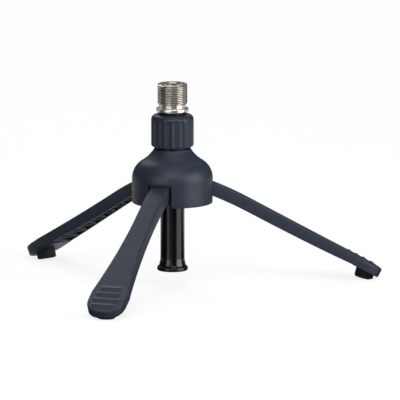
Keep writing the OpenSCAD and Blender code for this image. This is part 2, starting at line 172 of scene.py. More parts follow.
def glowing(tree, surface, strength):
    """A shader that also glows. Strength is a number or a socket."""
    glow = tree.nodes.new("ShaderNodeEmission")
    if isinstance(strength, float):
        glow.inputs["Strength"].default_value = strength
    else:
        tree.links.new(strength, glow.inputs["Strength"])
    both = tree.nodes.new("ShaderNodeAddShader")
    tree.links.new(surface.outputs[0], both.inputs[0])
    tree.links.new(glow.outputs[0], both.inputs[1])
    return both


def either_shader(tree, factor, first, second):
    """The first shader where factor is 0 and the second where it is 1."""
    node = tree.nodes.new("ShaderNodeMixShader")
    tree.links.new(factor, node.inputs[0])
    tree.links.new(first.outputs[0], node.inputs[1])
    tree.links.new(second.outputs[0], node.inputs[2])
    return node


def smooth_step(tree, value, limits, top=1.0):
    """Rises softly from 0 to top while the value passes between the limits."""
    node = tree.nodes.new("ShaderNodeMapRange")
    node.interpolation_type = "SMOOTHSTEP"
    node.inputs["From Min"].default_value, node.inputs["From Max"].default_value = limits
    node.inputs["To Max"].default_value = top
    tree.links.new(value, node.inputs["Value"])
    return node.outputs["Result"]


def floor_seen(tree):
    """What the camera sees of the floor: pale, so that it takes a soft shadow."""
    diffuse = tree.nodes.new("ShaderNodeBsdfDiffuse")
    diffuse.inputs["Color"].default_value = (FLOOR_ALBEDO, FLOOR_ALBEDO, FLOOR_ALBEDO, 1)
    return glowing(tree, diffuse, FLOOR_GLOW)


def floor_reflected(tree, position):
    """What other surfaces see of it: a dark card in front of the object, a bright sweep behind it."""
    turn = radians(CAMERA_AZIMUTH)
    depth = tree.nodes.new("ShaderNodeVectorMath")
    depth.operation = "DOT_PRODUCT"
    depth.inputs[1].default_value = (sin(turn), cos(turn), 0)
    tree.links.new(position, depth.inputs[0])
    sheen = tree.nodes.new("ShaderNodeBsdfGlossy")
    sheen.inputs["Color"].default_value = (FLOOR_SHEEN, FLOOR_SHEEN, FLOOR_SHEEN, 1)
    sheen.inputs["Roughness"].default_value = FLOOR_ROUGHNESS
    return glowing(tree, sheen, smooth_step(tree, depth.outputs["Value"], SWEEP, FLOOR_BOUNCE))


def floor_hidden(tree, geometry):
    """How clear the floor is: fading outwards, and invisible from below so that the underside shows."""
    distance = tree.nodes.new("ShaderNodeVectorMath")
    distance.operation = "LENGTH"
    tree.links.new(geometry.outputs["Position"], distance.inputs[0])
    hidden = tree.nodes.new("ShaderNodeMath")
    hidden.operation = "MAXIMUM"
    tree.links.new(geometry.outputs["Backfacing"], hidden.inputs[0])
    tree.links.new(smooth_step(tree, distance.outputs["Value"], FLOOR_FADE), hidden.inputs[1])
    return hidden.outputs[0]


def make_floor():
    """A wide pale floor that fades into the white surround, with a soft shadow near the object."""
    h = FLOOR_HALF
    mesh = bpy.data.meshes.new("floor")
    mesh.from_pydata([(-h, -h, 0), (h, -h, 0), (h, h, 0), (-h, h, 0)], [], [(0, 1, 2, 3)])
    floor = bpy.data.objects.new("floor", mesh)
    bpy.context.scene.collection.objects.link(floor)
    material = bpy.data.materials.new("floor")
    material.use_nodes = True
    tree = material.node_tree
    tree.nodes.clear()
    geometry = tree.nodes.new("ShaderNodeNewGeometry")
    path = tree.nodes.new("ShaderNodeLightPath")
    surface = either_shader(tree, path.outputs["Is Camera Ray"],
                            floor_reflected(tree, geometry.outputs["Position"]), floor_seen(tree))
    clear = tree.nodes.new("ShaderNodeBsdfTransparent")
    shown = either_shader(tree, floor_hidden(tree, geometry), surface, clear)
    out = tree.nodes.new("ShaderNodeOutputMaterial")
    tree.links.new(shown.outputs[0], out.inputs["Surface"])
    mesh.materials.append(material)


def make_world(seen, ambient):
    """A white surround: as bright as seen to the camera, and as ambient to everything that it lights."""
    world = bpy.data.worlds.new("surround")
    bpy.context.scene.world = world
    world.use_nodes = True
    tree = world.node_tree
    tree.nodes.clear()
    path = tree.nodes.new("ShaderNodeLightPath")
    level = tree.nodes.new("ShaderNodeMapRange")
    level.inputs["To Min"].default_value = ambient
    level.inputs["To Max"].default_value = seen
    surround = tree.nodes.new("ShaderNodeBackground")
    surround.inputs["Color"].default_value = (1, 1, 1, 1)
    out = tree.nodes.new("ShaderNodeOutputWorld")
    tree.links.new(path.outputs["Is Camera Ray"], level.inputs["Value"])
    tree.links.new(level.outputs["Result"], surround.inputs["Strength"])
    tree.links.new(surround.outputs[0], out.inputs["Surface"])


def soft_box(name, azimuth, elevation, distance, width, height, power, colour=(1, 1, 1)):
    """A soft box that faces the hub. Azimuth 0 is in front of the object and 90 on its right,
    as the camera sees it."""
    turn, lift = radians(azimuth - CAMERA_AZIMUTH), radians(elevation)
    data = bpy.data.lights.new(name, "AREA")
    data.shape, data.size, data.size_y = "RECTANGLE", width, height
    data.energy, data.color = power, colour
    light = bpy.data.objects.new(name, data)
    away = Vector((sin(turn) * cos(lift), -cos(turn) * cos(lift), sin(lift)))
    light.location = away * distance + Vector((0, 0, HUB_Z * MM))
    light.rotation_euler = away.to_track_quat("Z", "Y").to_euler()
    light.visible_camera = False
    bpy.context.scene.collection.objects.link(light)


# name: (azimuth, elevation, distance in metres, width, height, power in watts, colour)
LIGHTS = {
    "top": (0, 86, 1.1, 0.9, 0.9, 1.6, (0.96, 0.98, 1)),
    "right": (66, 14, 1.0, 0.95, 0.7, 6.5, (0.95, 0.97, 1)),
    "key": (2, 42, 1.0, 0.9, 0.5, 3.4, (0.96, 0.98, 1)),
    "left": (-32, 10, 1.0, 0.8, 0.45, 1.9, (0.97, 0.98, 1)),
    "back": (-170, 42, 1.1, 0.9, 0.6, 3.2, (0.96, 0.98, 1)),
}
AMBIENT = 0.02


def make_lights():
    """The surround and every soft box."""
    make_world(seen=1.0, ambient=AMBIENT)
    for name, values in LIGHTS.items():
        soft_box(name, *values)


# ---------------------------------------------------------------- materials

def new_material(name, colour, roughness, metallic=0.0):
    """A principled material and its node tree. Uniform values sit on the shader's own sockets."""
    material = bpy.data.materials.new(name)
    material.use_nodes = True
    tree = material.node_tree
    shader = tree.nodes["Principled BSDF"]
    shader.inputs["Base Color"].default_value = (*colour, 1)
    shader.inputs["Roughness"].default_value = roughness
    shader.inputs["Metallic"].default_value = metallic
    return material, tree, shader


def noise(tree, size_mm, stretch=(1, 1, 1), detail=2.0):
    """Noise whose grains are size_mm across, stretched along the axes, in the object's own coordinates."""
    place = tree.nodes.new("ShaderNodeTexCoord")
    scale = tree.nodes.new("ShaderNodeVectorMath")
    scale.operation = "MULTIPLY"
    scale.inputs[1].default_value = [1 / (size_mm * MM * s) for s in stretch]
    grain = tree.nodes.new("ShaderNodeTexNoise")
    grain.inputs["Scale"].default_value = 1
    grain.inputs["Detail"].default_value = detail
    tree.links.new(place.outputs["Object"], scale.inputs[0])
    tree.links.new(scale.outputs[0], grain.inputs["Vector"])
    return grain.outputs["Fac"]


def spread(tree, value, low, high, start=0.3, end=0.7):
    """Maps noise to a range."""
    node = tree.nodes.new("ShaderNodeMapRange")
    node.inputs["From Min"].default_value, node.inputs["From Max"].default_value = start, end
    node.inputs["To Min"].default_value, node.inputs["To Max"].default_value = low, high
    tree.links.new(value, node.inputs["Value"])
    return node.outputs["Result"]


def blend_colour(tree, factor, first, second):
    """A colour between two, by factor. Each is a colour or a socket."""
    node = tree.nodes.new("ShaderNodeMix")
    node.data_type = "RGBA"
    tree.links.new(factor, node.inputs["Factor"])
    for socket, colour in ((node.inputs[6], first), (node.inputs[7], second)):
        if isinstance(colour, tuple):
            socket.default_value = (*colour, 1)
        else:
            tree.links.new(colour, socket)
    return node.outputs[2]


def bump(tree, shader, layers):
    """Stacks bump layers of (height socket, height in mm) on the shader."""
    normal = None
    for height, depth_mm in layers:
        node = tree.nodes.new("ShaderNodeBump")
        node.inputs["Distance"].default_value = depth_mm * MM
        tree.links.new(height, node.inputs["Height"])
        if normal is not None:
            tree.links.new(normal, node.inputs["Normal"])
        normal = node.outputs["Normal"]
    tree.links.new(normal, shader.inputs["Normal"])


def scaled(colour, share):
    """The colour made brighter or darker."""
    return tuple(c * share for c in colour)


def moulded_plastic(name, colour, roughness, grain_mm=0.22, grain_depth=0.006):
    """Satin moulded plastic: a spark-eroded grain, faint flow marks, and gloss that varies a little."""
    material, tree, shader = new_material(name, colour, roughness)
    flow = noise(tree, 9, (1, 1, 0.6), 3)
    tint = blend_colour(tree, spread(tree, flow, 0, 1), scaled(colour, 0.94), scaled(colour, 1.06))
    tree.links.new(tint, shader.inputs["Base Color"])
    tree.links.new(spread(tree, noise(tree, 3.5, detail=4), roughness - 0.05, roughness + 0.05),
                   shader.inputs["Roughness"])
    shader.inputs["Specular IOR Level"].default_value = 0.42
    bump(tree, shader, [(noise(tree, grain_mm, detail=1), grain_depth),
                        (noise(tree, 1.1, detail=2), 0.008)])
    return material


def gloss_black(name, colour, roughness):
    """Polished black plating with faint draw lines along the tube."""
    material, tree, shader = new_material(name, colour, roughness)
    lines = noise(tree, 0.25, (1, 1, 120), 2)
    cloud = spread(tree, noise(tree, 6), 0, 1)
    tint = blend_colour(tree, cloud, scaled(colour, 0.8), scaled(colour, 1.3))
    tree.links.new(tint, shader.inputs["Base Color"])
    tree.links.new(spread(tree, lines, roughness - 0.03, roughness + 0.05), shader.inputs["Roughness"])
    shader.inputs["Coat Weight"].default_value = 0.4
    shader.inputs["Coat Roughness"].default_value = 0.08
    bump(tree, shader, [(lines, 0.0004)])
    return material


def turned_nickel(name, colour, groove_shade_colour):
    """Bright nickel plate on turned brass: lathe marks round the axis, and painted shade, dark and warm,
    that deepens into the thread's grooves in patches."""
    material, tree, shader = new_material(name, colour, roughness=0.22, metallic=0.85)
    # Painted shade in the thread's grooves: the colour darkens towards the second colour the deeper a point
    # lies, in patches.
    groove = tree.nodes.new("ShaderNodeAttribute")
    groove.attribute_name = "groove"
    patchy_groove_shade = spread(tree, noise(tree, 2.4, (1, 1, 0.5), 4), 0.55, 1.0)
    groove_shade_amount = tree.nodes.new("ShaderNodeMath")
    groove_shade_amount.operation = "MULTIPLY"
    tree.links.new(groove.outputs["Fac"], groove_shade_amount.inputs[0])
    tree.links.new(patchy_groove_shade, groove_shade_amount.inputs[1])
    tree.links.new(blend_colour(tree, groove_shade_amount.outputs[0], colour, groove_shade_colour), shader.inputs["Base Color"])
    lathe_marks = noise(tree, 0.12, (60, 60, 1), 2)
    tree.links.new(spread(tree, noise(tree, 1.5, detail=4), 0.19, 0.25), shader.inputs["Roughness"])
    bump(tree, shader, [(lathe_marks, 0.00003)])
    return material


def black_rubber(name, colour):
    """Matt rubber with a fine open grain and a trace of dust."""
    material, tree, shader = new_material(name, colour, roughness=0.7)
    dust = spread(tree, noise(tree, 1.6, detail=6), 0, 1, 0.45, 0.8)
    tree.links.new(blend_colour(tree, dust, colour, scaled(colour, 1.9)), shader.inputs["Base Color"])
    tree.links.new(spread(tree, noise(tree, 2.5, detail=3), 0.6, 0.8), shader.inputs["Roughness"])
    shader.inputs["Specular IOR Level"].default_value = 0.35
    bump(tree, shader, [(noise(tree, 0.3, detail=3), 0.012)])
    return material


def turned_metal(name, colour, roughness, mark_mm=0.1):
    """Plain turned metal with lathe marks and a little tarnish."""
    material, tree, shader = new_material(name, colour, roughness, metallic=1.0)
    tarnish = spread(tree, noise(tree, 1.8, detail=5), 0, 1)
    tree.links.new(blend_colour(tree, tarnish, scaled(colour, 0.8), colour), shader.inputs["Base Color"])
    tree.links.new(spread(tree, noise(tree, 1.2, detail=3), roughness - 0.06, roughness + 0.08),
                   shader.inputs["Roughness"])
    bump(tree, shader, [(noise(tree, mark_mm, (40, 40, 1), 2), 0.001)])
    return material


def black_oxide(name, colour):
    """Blackened steel: uneven, slightly brown, half matt."""
    material, tree, shader = new_material(name, colour, roughness=0.42, metallic=0.6)
    patches = spread(tree, noise(tree, 1.5, detail=5), 0, 1)
    brown = (colour[0] * 1.9, colour[1] * 1.6, colour[2] * 1.35)
    tree.links.new(blend_colour(tree, patches, colour, brown), shader.inputs["Base Color"])
    tree.links.new(spread(tree, patches, 0.36, 0.52, 0, 1), shader.inputs["Roughness"])
    bump(tree, shader, [(noise(tree, 0.2, detail=3), 0.003)])
    return material


def make_materials():
    """Every material by the name of its slot."""
    return {
        "hub_plastic": moulded_plastic("hub_plastic", (0.033, 0.041, 0.064), 0.42),
        "leg_plastic": moulded_plastic("leg_plastic", (0.035, 0.043, 0.065), 0.44),
        "knob_plastic": moulded_plastic("knob_plastic", (0.030, 0.037, 0.058), 0.38),
        "inner_plastic": moulded_plastic("inner_plastic", (0.02, 0.021, 0.024), 0.6,
                                         grain_mm=0.4, grain_depth=0.01),
        "bush_nylon": moulded_plastic("bush_nylon", (0.62, 0.60, 0.54), 0.45,
                                      grain_mm=0.5, grain_depth=0.004),
        "gloss_black": gloss_black("gloss_black", (0.006, 0.006, 0.008), 0.14),
        "cap_plastic": gloss_black("cap_plastic", (0.010, 0.010, 0.012), 0.24),
        "black_steel": black_oxide("black_steel", (0.018, 0.018, 0.020)),
        "steel": turned_metal("steel", (0.58, 0.58, 0.58), 0.3),
        "ring_brass": turned_metal("ring_brass", (0.62, 0.45, 0.18), 0.3),
        # the nickel's second colour is painted shade, deeper in the thread's grooves
        "nickel": turned_nickel("nickel", (0.97, 0.92, 0.85), (0.22, 0.17, 0.12)),
        "rubber": black_rubber("rubber", (0.012, 0.012, 0.013)),
    }


# ---------------------------------------------------------------- mesh building

class Shape:
    """Sheets of points in millimetres whose shared borders are welded into one closed mesh."""

    def __init__(self):
        self.points, self.faces = [], []

    def polygon(self, points):
        """One flat face."""
        start = len(self.points)
        self.points += points
        self.faces.append(range(start, len(self.points)))

    def sheet(self, rows):
        """Quads between rows of equally many points."""
        start, width = len(self.points), len(rows[0])
        for row in rows:
            self.points += row
        for i in range(len(rows) - 1):
            for j in range(width - 1):
                a = start + i * width + j
                self.faces.append((a, a + 1, a + width + 1, a + width))

    def build(self, weld=0.002, sliver=0.0005):
        """The welded mesh in metres, without edges shorter than a sliver, and its faces turned outwards."""
        mesh = bmesh.new()
        corners = [mesh.verts.new(Vector(p) * MM) for p in self.points]
        for face in self.faces:
            mesh.faces.new([corners[k] for k in face])
        bmesh.ops.remove_doubles(mesh, verts=mesh.verts, dist=weld * MM)
        bmesh.ops.dissolve_degenerate(mesh, dist=sliver * MM, edges=mesh.edges)
        bmesh.ops.recalc_face_normals(mesh, faces=mesh.faces)
        return mesh


def make_piece(name, mesh, body, material, nodes=(), smooth=32):
    """A Blender object of that mesh, riding on a CAD body and standing for CAD nodes."""
    data = bpy.data.meshes.new(name)
    mesh.to_mesh(data)
    mesh.free()
    data.shade_smooth()
    data.set_sharp_from_angle(angle=radians(smooth))
    data.materials.append(materials[material])
    piece = bpy.data.objects.new(name, data)
    bpy.context.scene.collection.objects.link(piece)
    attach(piece, body)
    if nodes:
        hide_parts(*nodes)
    return piece


def polar(r, angle, z):
    """A point at radius r and an angle round the Z axis."""
    return (r * cos(radians(angle)), r * sin(radians(angle)), z)


def turned(point, angle):
    """A point turned about the Z axis."""
    x, y, z = point
    c, s = cos(radians(angle)), sin(radians(angle))
    return (x * c - y * s, x * s + y * c, z)


def arc(x, z, r, start, end, steps):
    """Points of an arc round (x, z), from one angle to another, in the plane of an outline."""
    return [(x + r * cos(radians(start + (end - start) * k / steps)),
             z + r * sin(radians(start + (end - start) * k / steps))) for k in range(steps + 1)]


def lathe(outline, columns=128, base=0.0):
    """A closed outline of (r, z) turned about the rod's axis."""
    shape = Shape()
    loop = outline + outline[:1]
    shape.sheet([[polar(r, 360 * j / columns, base + z) for j in range(columns + 1)] for r, z in loop])
    return shape.build()


# ---------------------------------------------------------------- hub

def hub_side():
    """The bell's outside from the slot's roof up, over the top and down the bore, as (r, height)."""
    x = HUB_R - SHOULDER_R
    flare_x = x + (SHOULDER_R + FLARE_R) * cos(radians(SHOULDER_A))
    flare_z = SHOULDER_H + (SHOULDER_R + FLARE_R) * sin(radians(SHOULDER_A))
    top = HUB_TOP - HUB_Z
    flare = arc(flare_x, flare_z, FLARE_R, 180 + SHOULDER_A, 180 + SHOULDER_A - FLARE_A, 14)
    neck = flare[-1][0] - LIP_GAP
    return ([(HUB_R, SLOT_ROOF)] + arc(x, SHOULDER_H, SHOULDER_R, 0, SHOULDER_A, 26) + flare[1:]
            + arc(neck - HUB_LIP, top - HUB_LIP, HUB_LIP, 0, 90, 5)
            + [(NECK_R + NECK_LEAD, top), (NECK_R, top - NECK_LEAD), (NECK_R, SEAT_H),
               (BORE_R, SEAT_H), (BORE_R, RECESS_H)])


def slot_angle(r):
    """Angle from a leg's middle to the side of its slot, at radius r."""
    return degrees(asin(SLOT_HALF / r))


def stop_height(x):
    """Height of a pocket's roof above the hub's rim, just clear of the unfolded leg at radius x."""
    _, inner_x, inner_z, _ = PATH[-1]
    return inner_z - ROOT_SLOPE * (x - inner_x) + STOP_GAP - HUB_Z


def hub_bell():
    """The bell-shaped hub, in three like sectors, each with its wall, a leg slot with its pocket, and
    the recess below."""
    walls, slots, lifts = 44, 14, 9
    skirt = ([(RECESS_R, RECESS_H), (RECESS_R, 0)]
             + arc(HUB_R - HUB_RIM, HUB_RIM, HUB_RIM, -90, 0, 5)
             + [(HUB_R, SLOT_ROOF * k / lifts + HUB_RIM * (1 - k / lifts)) for k in range(1, lifts + 1)])
    side = hub_side()
    edge = slot_angle(HUB_R)
    mouth_x = HUB_R - MOUTH_WALL
    pocket = [(mouth_x, SLOT_ROOF), (mouth_x, stop_height(mouth_x)), (PIVOT_X, stop_height(PIVOT_X)),
              (CORE_X, stop_height(PIVOT_X)), (CORE_X, RECESS_H)]
    shape = Shape()
    for i in range(len(LEGS)):
        around = SECTOR * i

        def wall_row(r, h, e, around=around):
            """From one slot's side to the next slot's."""
            return [polar(r, around + e + (SECTOR - 2 * e) * k / walls, HUB_Z + h)
                    for k in range(walls + 1)]

        def slot_row(r, h, e, around=around):
            """Across the slot, on a round."""
            return [polar(r, around + e * (2 * k / slots - 1), HUB_Z + h) for k in range(slots + 1)]

        def flat_row(x, h, around=around):
            """Across the slot, on a straight line."""
            return [turned((x, SLOT_HALF * (2 * k / slots - 1), HUB_Z + h), around)
                    for k in range(slots + 1)]

        shape.sheet([wall_row(r, h, slot_angle(r)) for r, h in skirt]
                    + [wall_row(r, h, edge) for r, h in side])
        shape.sheet([slot_row(r, h, edge) for r, h in side])
        shape.sheet([slot_row(HUB_R, SLOT_ROOF, edge)] + [flat_row(x, h) for x, h in pocket])
        for sign in (-1, 1):
            section = [(r * cos(radians(slot_angle(r))), h) for r, h in skirt] + pocket
            shape.polygon([turned((x, sign * SLOT_HALF, HUB_Z + h), around) for x, h in section])
        after = around + SECTOR
        shape.polygon(
            wall_row(RECESS_R, RECESS_H, slot_angle(RECESS_R))
            + flat_row(CORE_X, RECESS_H, after)[:slots // 2 + 1]
            + slot_row(BORE_R, RECESS_H, edge, after)[slots // 2::-1]
            + wall_row(BORE_R, RECESS_H, edge)[-2:0:-1]
            + slot_row(BORE_R, RECESS_H, edge)[:slots // 2 - 1:-1]
            + flat_row(CORE_X, RECESS_H)[slots // 2:]
        )
    mesh = shape.build()
    bevel_slot_mouths(mesh)
    make_piece("hub_bell", mesh, "hub", "hub_plastic", ["hub_shell"])


def bevel_slot_mouths(mesh):
    """Rounds the edge where each leg slot opens through the bell's side."""
    near, sharp = 0.01, 0.9         # in millimetres and radians

    def on_mouth(v):
        p = v.co / MM
        under_roof = HUB_Z + SLOT_ROOF - p.z
        if abs(hypot(p.x, p.y) - HUB_R) > near or under_roof < -near:
            return False
        for i in range(len(LEGS)):
            x, y, _ = turned(p, -SECTOR * i)
            if x > 0 and abs(y) < SLOT_HALF + near:
                return abs(abs(y) - SLOT_HALF) < near or abs(under_roof) < near
        return False

    marked = {v for v in mesh.verts if on_mouth(v)}
    edges = [e for e in mesh.edges
             if e.verts[0] in marked and e.verts[1] in marked and e.calc_face_angle(0) > sharp]
    bmesh.ops.bevel(mesh, geom=edges, offset=SLOT_EDGE * MM, segments=3, profile=0.5, affect="EDGES",
                    clamp_overlap=True)


# ---------------------------------------------------------------- legs

def share_of(value, start, end):
    """How far the value has come from start to end, held between 0 and 1."""
    return min(1, max(0, (value - start) / (end - start)))


def leg_slope(r):
    """Slope of the leg's top at radius r, easing from the root's to the arm's."""
    u = share_of(r, ROOT_R, KNEE_R)
    return ROOT_SLOPE + (ARM_SLOPE - ROOT_SLOPE) * u * u * (3 - 2 * u)


def leg_path():
    """Stations up the leg's top from its tip to over its pin: (distance from the tip, x, z, slope
    angle)."""
    straight = (LEG_REACH - KNEE_R) / cos(ARM_A)
    path = [(0.0, LEG_REACH, TIP_Z, ARM_A),
            (straight, KNEE_R, TIP_Z + ARM_SLOPE * (LEG_REACH - KNEE_R), ARM_A)]
    steps = 60
    inner_end = PIVOT_X + LEG_T_HUB / 2 * sin(atan(ROOT_SLOPE))
    q, x, z = path[-1][:3]
    dx = (KNEE_R - inner_end) / steps
    for _ in range(steps):
        slope = leg_slope(x - dx / 2)
        x, z, q = x - dx, z + slope * dx, q + dx * sqrt(1 + slope * slope)
        path.append((q, x, z, atan(leg_slope(x))))
    return path


PATH = leg_path()
ROOT_Q = PATH[-1][0]
KNEE_Q = PATH[1][0]
CHANNEL_END = KNEE_Q + (KNEE_R - CHANNEL_R) * sqrt(1 + ROOT_SLOPE * ROOT_SLOPE)


def on_path(q):
    """Point and slope angle of the leg's top at distance q from its tip."""
    for a, b in zip(PATH, PATH[1:]):
        if q <= b[0]:
            t = (q - a[0]) / (b[0] - a[0])
            return [p + (s - p) * t for p, s in zip(a[1:], b[1:])]
    past, (x, z, angle) = q - ROOT_Q, PATH[-1][1:]
    return [x - past * cos(angle), z + past * sin(angle), angle]


def leg_t(q):
    """Thickness of the leg: slowly less from the hub towards the paddle."""
    u = 1 - share_of(q, CHANNEL_Q, ROOT_Q - THICK_SPAN)
    return LEG_T_HUB + (LEG_T_TIP - LEG_T_HUB) * u * u * u


def half_width(q):
    """Half the leg's width, before its end is rounded."""
    return LEG_W / 2 + (PADDLE_W - LEG_W) / 2 * share_of(q, FLARE_Q, FULL_Q) ** FLARE_POWER


def leg_point(q, y, depth):
    """A point of the leg at distance q from the tip, y off its middle and a depth below its top.
    Past the pin the leg closes in a half round barrel."""
    barrel = LEG_T_HUB / 2
    if q > ROOT_Q:
        lift = cos(asin(min(1, (q - ROOT_Q) / barrel)))
        depth = barrel - (barrel - depth) * lift
    x, z, angle = on_path(q)
    return (x - sin(angle) * depth, y, z - cos(angle) * depth)


def stations(start, end, count):
    """Distances from start down to end, in equal steps, without start itself."""
    return [end + (start - end) * k / count for k in range(count - 1, -1, -1)]


def side_stations():
    """Distances from the tip at which the leg's side is worked out, from the barrel to the paddle's
    rounded end."""
    barrel = [ROOT_Q + LEG_T_HUB / 2 * sin(radians(a)) for a in BARREL_STEPS]
    ends = [CHANNEL_Q, CHANNEL_Q - CHANNEL_STEP, CHANNEL_END, CHANNEL_END + CHANNEL_STEP]
    return sorted(barrel + [ROOT_Q] + stations(ROOT_Q, KNEE_Q, 16) + stations(KNEE_Q, GRIP_END, 24)
                  + stations(GRIP_END, END_L, 44) + ends, reverse=True)


def side_line():
    """One side of the leg's flat shape from its root to its tip: (q, half width, inward normal)."""
    line = [(q, half_width(q)) for q in side_stations()]
    steps = 30
    for k in range(1, steps + 1):
        q = END_L * (1 - k / steps) ** END_CROWD
        across = (1 - (1 - q / END_L) ** END_POWER) ** (1 / END_POWER)
        line.append((q, half_width(q) * across))
    found = []
    for before, (q, w), after in zip(line[:1] + line, line, line[1:]):
        dq, dw = after[0] - before[0], after[1] - before[1]
        size = hypot(dq, dw)
        found.append((q, w, (-dw / size, dq / size)))
    return found + [(*line[-1], (1.0, 0.0))]


def ridge_height(q, y):
    """Height of the finger ridges on the paddle: steep towards the hub, a long slope towards the tip."""
    height = 0.0
    for k in range(RIDGES):
        past = q - RIDGE_Q - RIDGE_PITCH * k
        rise = 1 - past / RIDGE_BACK if past > 0 else 1 + past / RIDGE_RUN
        v = max(0, (abs(y) - RIDGE_REACH + RIDGE_TAPER * abs(k - RIDGE_WIDEST)) / RIDGE_END)
        if rise > 0 and v < 1:
            height = max(height, RIDGE_H * rise * (1 - v * v))
    return height


def channel_depth(q):
    """Depth of the leg's underside inside its walls: the channel's floor, or solid at both ends."""
    return CHANNEL_SKIN if CHANNEL_Q <= q <= CHANNEL_END else leg_t(q)


def leg_shell():
    """The leg as one closed skin: top, rounded edges, sides, and the channel underneath.
    A row of the skin is its inset from the side line and its depth below the top."""
    line = side_line()
    rounds, low_rounds, across, under_across = 5, 3, 36, 4

    def top_round(k):
        turn = pi / 2 * k / rounds
        return TOP_EDGE * (1 - sin(turn)), lambda q: TOP_EDGE * (1 - cos(turn))

    def low_round(k):
        turn = pi / 2 * k / low_rounds
        return LOW_EDGE * (1 - cos(turn)), lambda q: leg_t(q) - LOW_EDGE * (1 - sin(turn))

    def inwards(inset):
        """The side line moved inwards, as (q, half width)."""
        return [(q + inset * nq, max(0.0, w + inset * nw)) for q, w, (nq, nw) in line]

    def ring(inset, depth):
        """A row round the whole leg at one inset from its side line."""
        points = [(q, w, depth(q)) for q, w in inwards(inset)]
        left = [leg_point(q, -w, t) for q, w, t in points]
        right = [leg_point(q, w, t) for q, w, t in points[-2::-1]]
        return left + right

    def rungs(inset, depth, count):
        """Rows across the leg, one for each station."""
        return [[leg_point(q, y, depth(q, y)) for y in (w * (2 * k / count - 1) for k in range(count + 1))]
                for q, w in inwards(inset)]

    inner = CHANNEL_WALL + CHANNEL_DRAFT
    rows = [top_round(k) for k in range(rounds + 1)] + [low_round(k) for k in range(low_rounds + 1)]
    rows += [(CHANNEL_WALL, leg_t), (inner, channel_depth)]
    skin = [ring(inset, depth) for inset, depth in rows]
    top = rungs(TOP_EDGE, lambda q, y: -ridge_height(q, y), across)
    under = rungs(inner, lambda q, y: channel_depth(q), under_across)
    shape = Shape()
    for part in (skin, top, under):
        shape.sheet(part)
    shape.polygon(top[0] + [row[-1] for row in skin[1:]]
                  + under[0][-2::-1] + [row[0] for row in skin[-2:0:-1]])
    return shape


def rib_shape(shape, start, end, low, high):
    """One straight rib across the channel between two (q, y) points, its lower edge slightly rounded."""
    steps = 4
    dq, dy = end[0] - start[0], end[1] - start[1]
    size = hypot(dq, dy)
    nq, ny = -dy / size * RIB_T / 2, dq / size * RIB_T / 2
    section = [(-RIB_ROOT, low), (-RIB_SIDE, high - RIB_ROUND), (-RIB_CROWN, high),
               (RIB_CROWN, high), (RIB_SIDE, high - RIB_ROUND), (RIB_ROOT, low)]
    rows = []
    for k in range(steps + 1):
        q, y = start[0] + dq * k / steps, start[1] + dy * k / steps
        rows.append([leg_point(q + nq * s, y + ny * s, depth) for s, depth in section])
    shape.sheet([row + row[:1] for row in rows])
    shape.polygon(rows[0])
    shape.polygon(rows[-1])


def leg_ribs():
    """The zig-zag ribs that stiffen the channel."""
    shape = Shape()
    run = (LEG_REACH - CHANNEL_R) / cos(ARM_A) - CHANNEL_Q
    pitch = run / RIBS
    for k in range(RIBS):
        middle = CHANNEL_Q + pitch * (k + 0.5)
        reach = half_width(middle) - CHANNEL_WALL / 2
        lean = (1 if k % 2 == 0 else -1) * pitch / 2 * reach / half_width(middle)
        rib_shape(shape, (middle - lean, -reach), (middle + lean, reach),
                  CHANNEL_SKIN - RIB_SINK, leg_t(middle) - RIB_GAP)
    return shape


def spun(shape, i):
    """The same shape at leg i's place round the hub."""
    moved = Shape()
    moved.points = [turned(p, SECTOR * (i - 1)) for p in shape.points]
    moved.faces = shape.faces
    return moved


def foot_shape(i):
    """A leaning rubber disc, cut off by the paddle above it and worn flat where it stands on the floor."""
    lower = arc(FOOT_R - FOOT_EDGE, FOOT_EDGE, FOOT_EDGE, -90, 0, 5)
    outline = [(0, 0), (FOOT_R - FOOT_EDGE - FOOT_FLAT, 0)] + lower + [(FOOT_R, FOOT_H), (0, FOOT_H)]
    mesh = lathe(outline, columns=72)
    lean = radians(FOOT_TILT)
    for v in mesh.verts:
        x, y, z = v.co / MM
        v.co = Vector((FOOT_X + x * cos(lean) + z * sin(lean), y,
                       FOOT_DROP - x * sin(lean) + z * cos(lean))) * MM
    tip = Vector(leg_point(0, 0, LEG_T_TIP)) * MM
    planes = [(tip, Vector((sin(ARM_A), 0, cos(ARM_A)))), (Vector((0, 0, 0)), Vector((0, 0, -1)))]
    for place, outward in planes:
        cut = bmesh.ops.bisect_plane(mesh, geom=mesh.verts[:] + mesh.edges[:] + mesh.faces[:], dist=1e-8,
                                     plane_co=place, plane_no=outward, clear_outer=True)
        rim = [e for e in cut["geom_cut"] if isinstance(e, bmesh.types.BMEdge)]
        bmesh.ops.edgeloop_fill(mesh, edges=rim)
    for v in mesh.verts:
        v.co = Vector(turned(v.co, SECTOR * (i - 1)))
    bmesh.ops.recalc_face_normals(mesh, faces=mesh.faces)
    return mesh


def make_legs():
    """Three like legs, each with its ribs and its rubber foot."""
    shell, ribs = leg_shell(), leg_ribs()
    for i in LEGS:
        body = f"leg_{i}_body"
        make_piece(f"leg_{i}_shell", spun(shell, i).build(), body, "leg_plastic", [f"leg_{i}"],
                   smooth=38)
        make_piece(f"leg_{i}_ribs", spun(ribs, i).build(), body, "leg_plastic")
        make_piece(f"foot_{i}_rubber", foot_shape(i), body, "rubber", [f"foot_{i}"])


# ---------------------------------------------------------------- clamp knob

def smooth_min(a, b, width):
    """The smaller of two lengths, with the corner between them rounded over width."""
    h = max(0, width - abs(a - b)) / width
    return min(a, b) - h * h * width / 4


def flute_radius(angle, z):
    """Radius of the groove's floor at an angle from its middle, or one outside the knob beyond it."""
    axis_r = KNOB_R - FLUTE_DEPTH + FLUTE_R
    top = KNOB_H - KNOB_SHOULDER - FLUTE_R + FLUTE_RISE
    above = max(0, z - top)
    left = FLUTE_R ** 2 - above ** 2 - (axis_r * sin(radians(angle))) ** 2
    return axis_r * cos(radians(angle)) - sqrt(left) if left > 0 else axis_r


